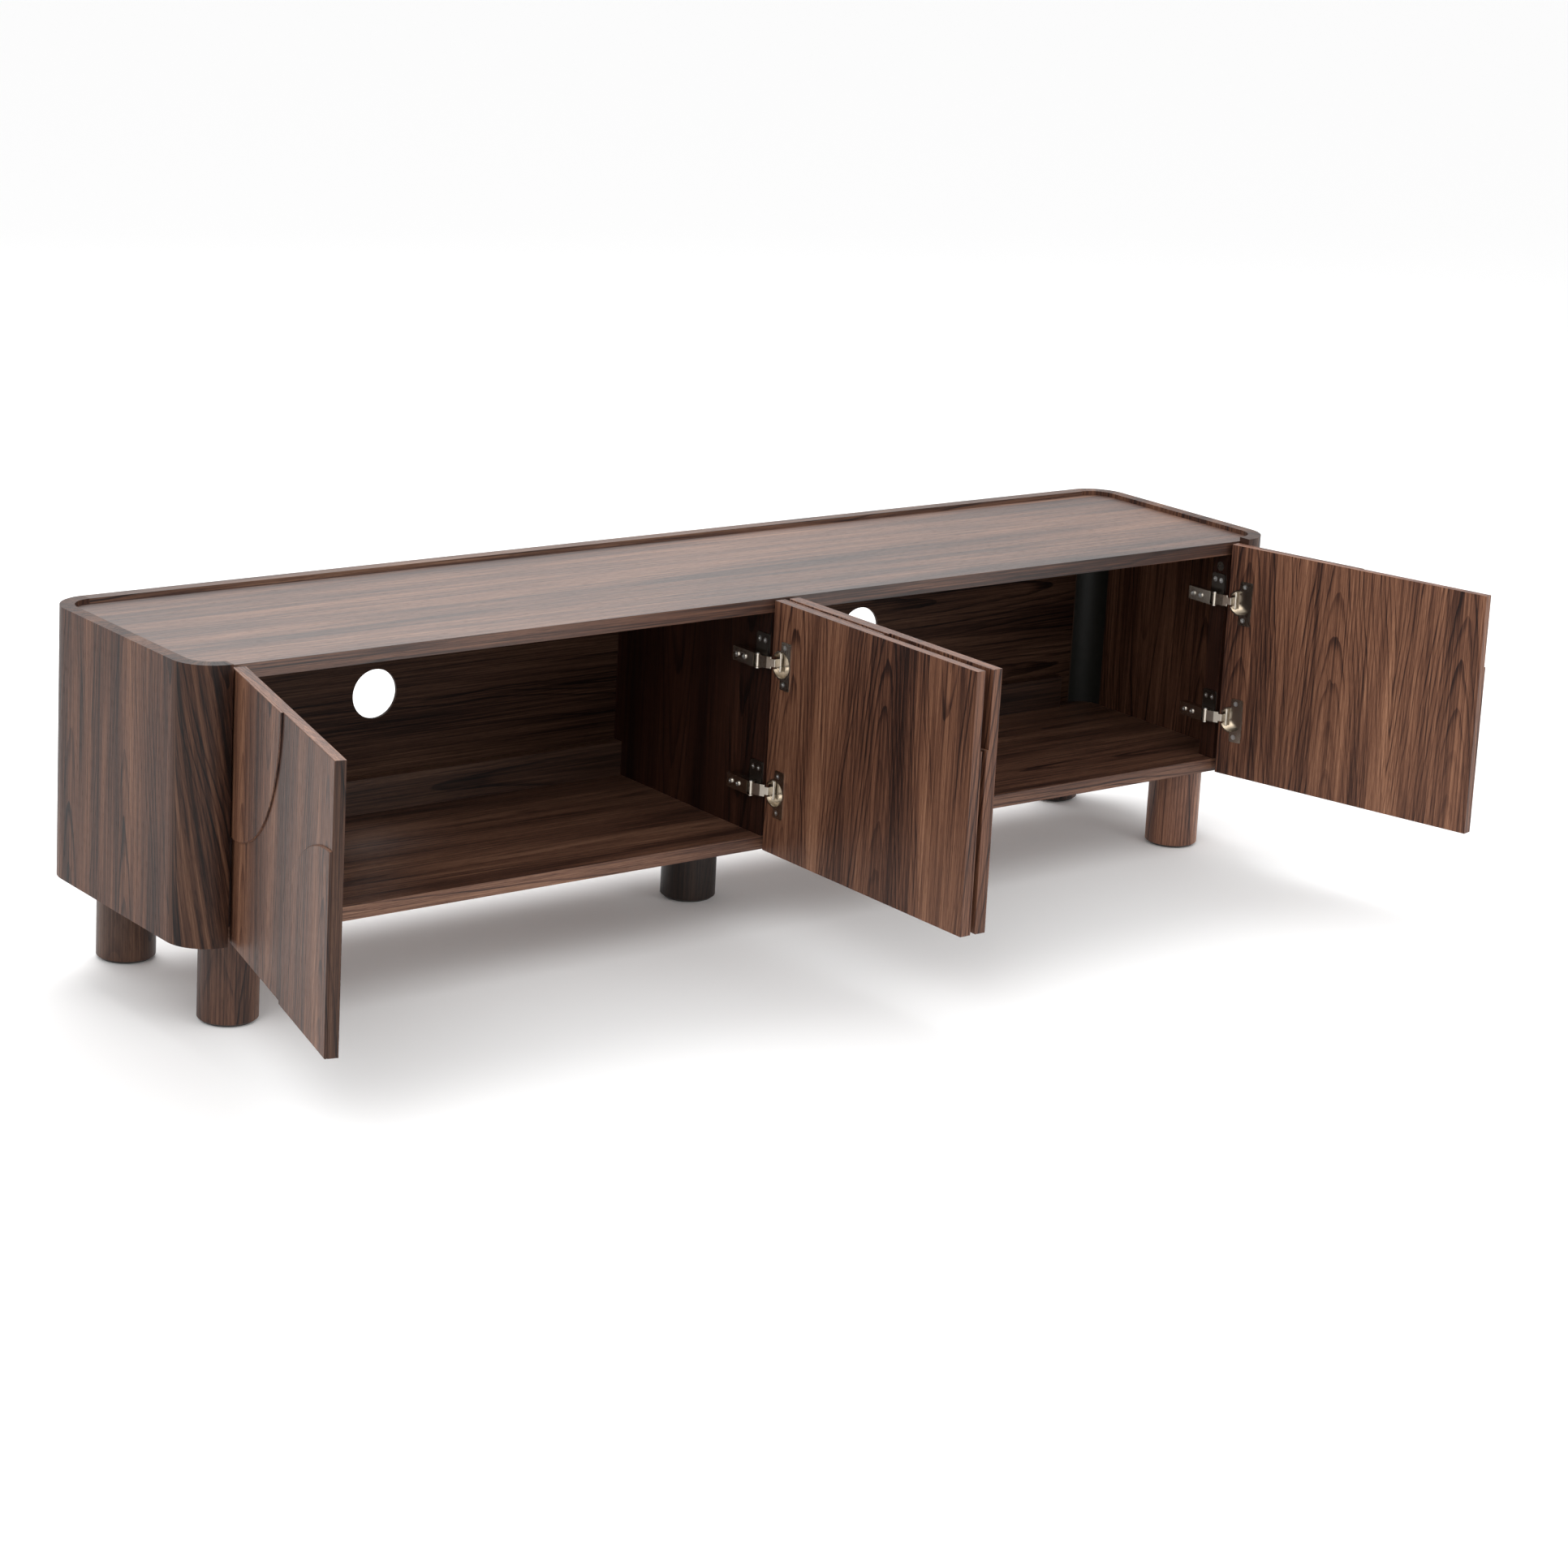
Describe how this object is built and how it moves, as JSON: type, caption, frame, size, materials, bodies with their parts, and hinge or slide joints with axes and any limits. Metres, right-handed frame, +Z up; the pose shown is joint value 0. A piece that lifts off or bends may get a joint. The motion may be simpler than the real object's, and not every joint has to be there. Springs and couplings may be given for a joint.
{
  "type": "media cabinet",
  "caption": "Low, long media cabinet with curved ends, doors with raised arc panels on concealed hinges, an inset top with a low rim, cable holes and round legs.",
  "frame": {"origin": "on the floor, at the centre of the middle leg's underside", "axes": "+X to the right seen from the front, +Y towards the back, +Z up; doors open towards -Y"},
  "size_m": [1.7746, 0.751, 0.45],
  "materials": {
    "shell_walnut": "satin walnut veneer, upright grain",
    "door_walnut": "satin walnut veneer, upright cathedral grain",
    "panel_walnut": "satin walnut veneer, lengthwise grain",
    "inside_walnut": "satin dark walnut",
    "leg_walnut": "satin dark walnut",
    "nickel": "nickel-plated pressed steel",
    "zinc_steel": "zinc-plated steel",
    "black_steel": "black painted steel",
    "dark_felt": "pressed felt"
  },
  "bodies": {
    "cabinet": {"shell_left": "shell_walnut", "shell_right": "shell_walnut", "top_panel": "panel_walnut", "bottom_panel": "panel_walnut", "back_panel": "inside_walnut", "back_rail": "panel_walnut", "back_cleat_left": "inside_walnut", "back_cleat_right": "inside_walnut", "centre_divider": "inside_walnut", "hinge_strip_left": "inside_walnut", "hinge_strip_right": "inside_walnut", "back_screws": "zinc_steel", "rail_screws": "zinc_steel", "cam_locks": "zinc_steel", "cam_bolts": "zinc_steel", "leg_front_left": "leg_walnut", "leg_front_right": "leg_walnut", "leg_rear_left": "leg_walnut", "leg_rear_right": "leg_walnut", "leg_centre": "leg_walnut", "leg_glides": "dark_felt", "leg_plates": "black_steel", "leg_bolts": "zinc_steel", "leg_plate_screws": "zinc_steel", "hinge_plates": "nickel", "hinge_arms": "nickel", "hinge_arm_pins": "zinc_steel", "hinge_plate_screws": "zinc_steel", "hinge_arm_screws": "zinc_steel"},
    "door_1": {"door_1_board": "door_walnut", "door_1_corner_relief": "door_walnut", "door_1_edge_relief": "door_walnut", "door_1_hinge_cups": "nickel", "door_1_cup_pins": "zinc_steel", "door_1_cup_screws": "zinc_steel"},
    "link_1": {"door_1_links": "nickel"},
    "door_2": {"door_2_board": "door_walnut", "door_2_corner_relief": "door_walnut", "door_2_edge_relief": "door_walnut", "door_2_hinge_cups": "nickel", "door_2_cup_pins": "zinc_steel", "door_2_cup_screws": "zinc_steel"},
    "link_2": {"door_2_links": "nickel"},
    "door_3": {"door_3_board": "door_walnut", "door_3_corner_relief": "door_walnut", "door_3_edge_relief": "door_walnut", "door_3_hinge_cups": "nickel", "door_3_cup_pins": "zinc_steel", "door_3_cup_screws": "zinc_steel"},
    "link_3": {"door_3_links": "nickel"},
    "door_4": {"door_4_board": "door_walnut", "door_4_corner_relief": "door_walnut", "door_4_edge_relief": "door_walnut", "door_4_hinge_cups": "nickel", "door_4_cup_pins": "zinc_steel", "door_4_cup_screws": "zinc_steel"},
    "link_4": {"door_4_links": "nickel"}
  },
  "joints": [
    {"name": "door_1_swing", "type": "hinge", "parent": "link_1", "child": "door_1", "pos_m": [-0.78641, -0.18779, 0.279], "axis": [0, 0, 1], "range_deg": [0, 109.93]},
    {"name": "link_1_turn", "type": "hinge", "parent": "cabinet", "child": "link_1", "pos_m": [-0.7664, -0.1655, 0.279], "axis": [0, 0, 1], "range_deg": [-5.94, 0]},
    {"name": "door_2_swing", "type": "hinge", "parent": "link_2", "child": "door_2", "pos_m": [-0.01059, -0.18751, 0.279], "axis": [0, 0, -1], "range_deg": [0, 95.13]},
    {"name": "link_2_turn", "type": "hinge", "parent": "cabinet", "child": "link_2", "pos_m": [-0.0309, -0.1655, 0.279], "axis": [0, 0, -1], "range_deg": [-5.14, 0]},
    {"name": "door_3_swing", "type": "hinge", "parent": "link_3", "child": "door_3", "pos_m": [0.01059, -0.18751, 0.279], "axis": [0, 0, 1], "range_deg": [0, 95.13]},
    {"name": "link_3_turn", "type": "hinge", "parent": "cabinet", "child": "link_3", "pos_m": [0.0309, -0.1655, 0.279], "axis": [0, 0, 1], "range_deg": [-5.14, 0]},
    {"name": "door_4_swing", "type": "hinge", "parent": "link_4", "child": "door_4", "pos_m": [0.78641, -0.18779, 0.279], "axis": [0, 0, -1], "range_deg": [0, 109.93]},
    {"name": "link_4_turn", "type": "hinge", "parent": "cabinet", "child": "link_4", "pos_m": [0.7664, -0.1655, 0.279], "axis": [0, 0, -1], "range_deg": [-5.94, 0]}
  ],
  "couplings": [
    {"joint": "link_1_turn", "follows": "door_1_swing", "ratio": -0.053926},
    {"joint": "link_2_turn", "follows": "door_2_swing", "ratio": -0.053926},
    {"joint": "link_3_turn", "follows": "door_3_swing", "ratio": -0.053926},
    {"joint": "link_4_turn", "follows": "door_4_swing", "ratio": -0.053926}
  ]
}
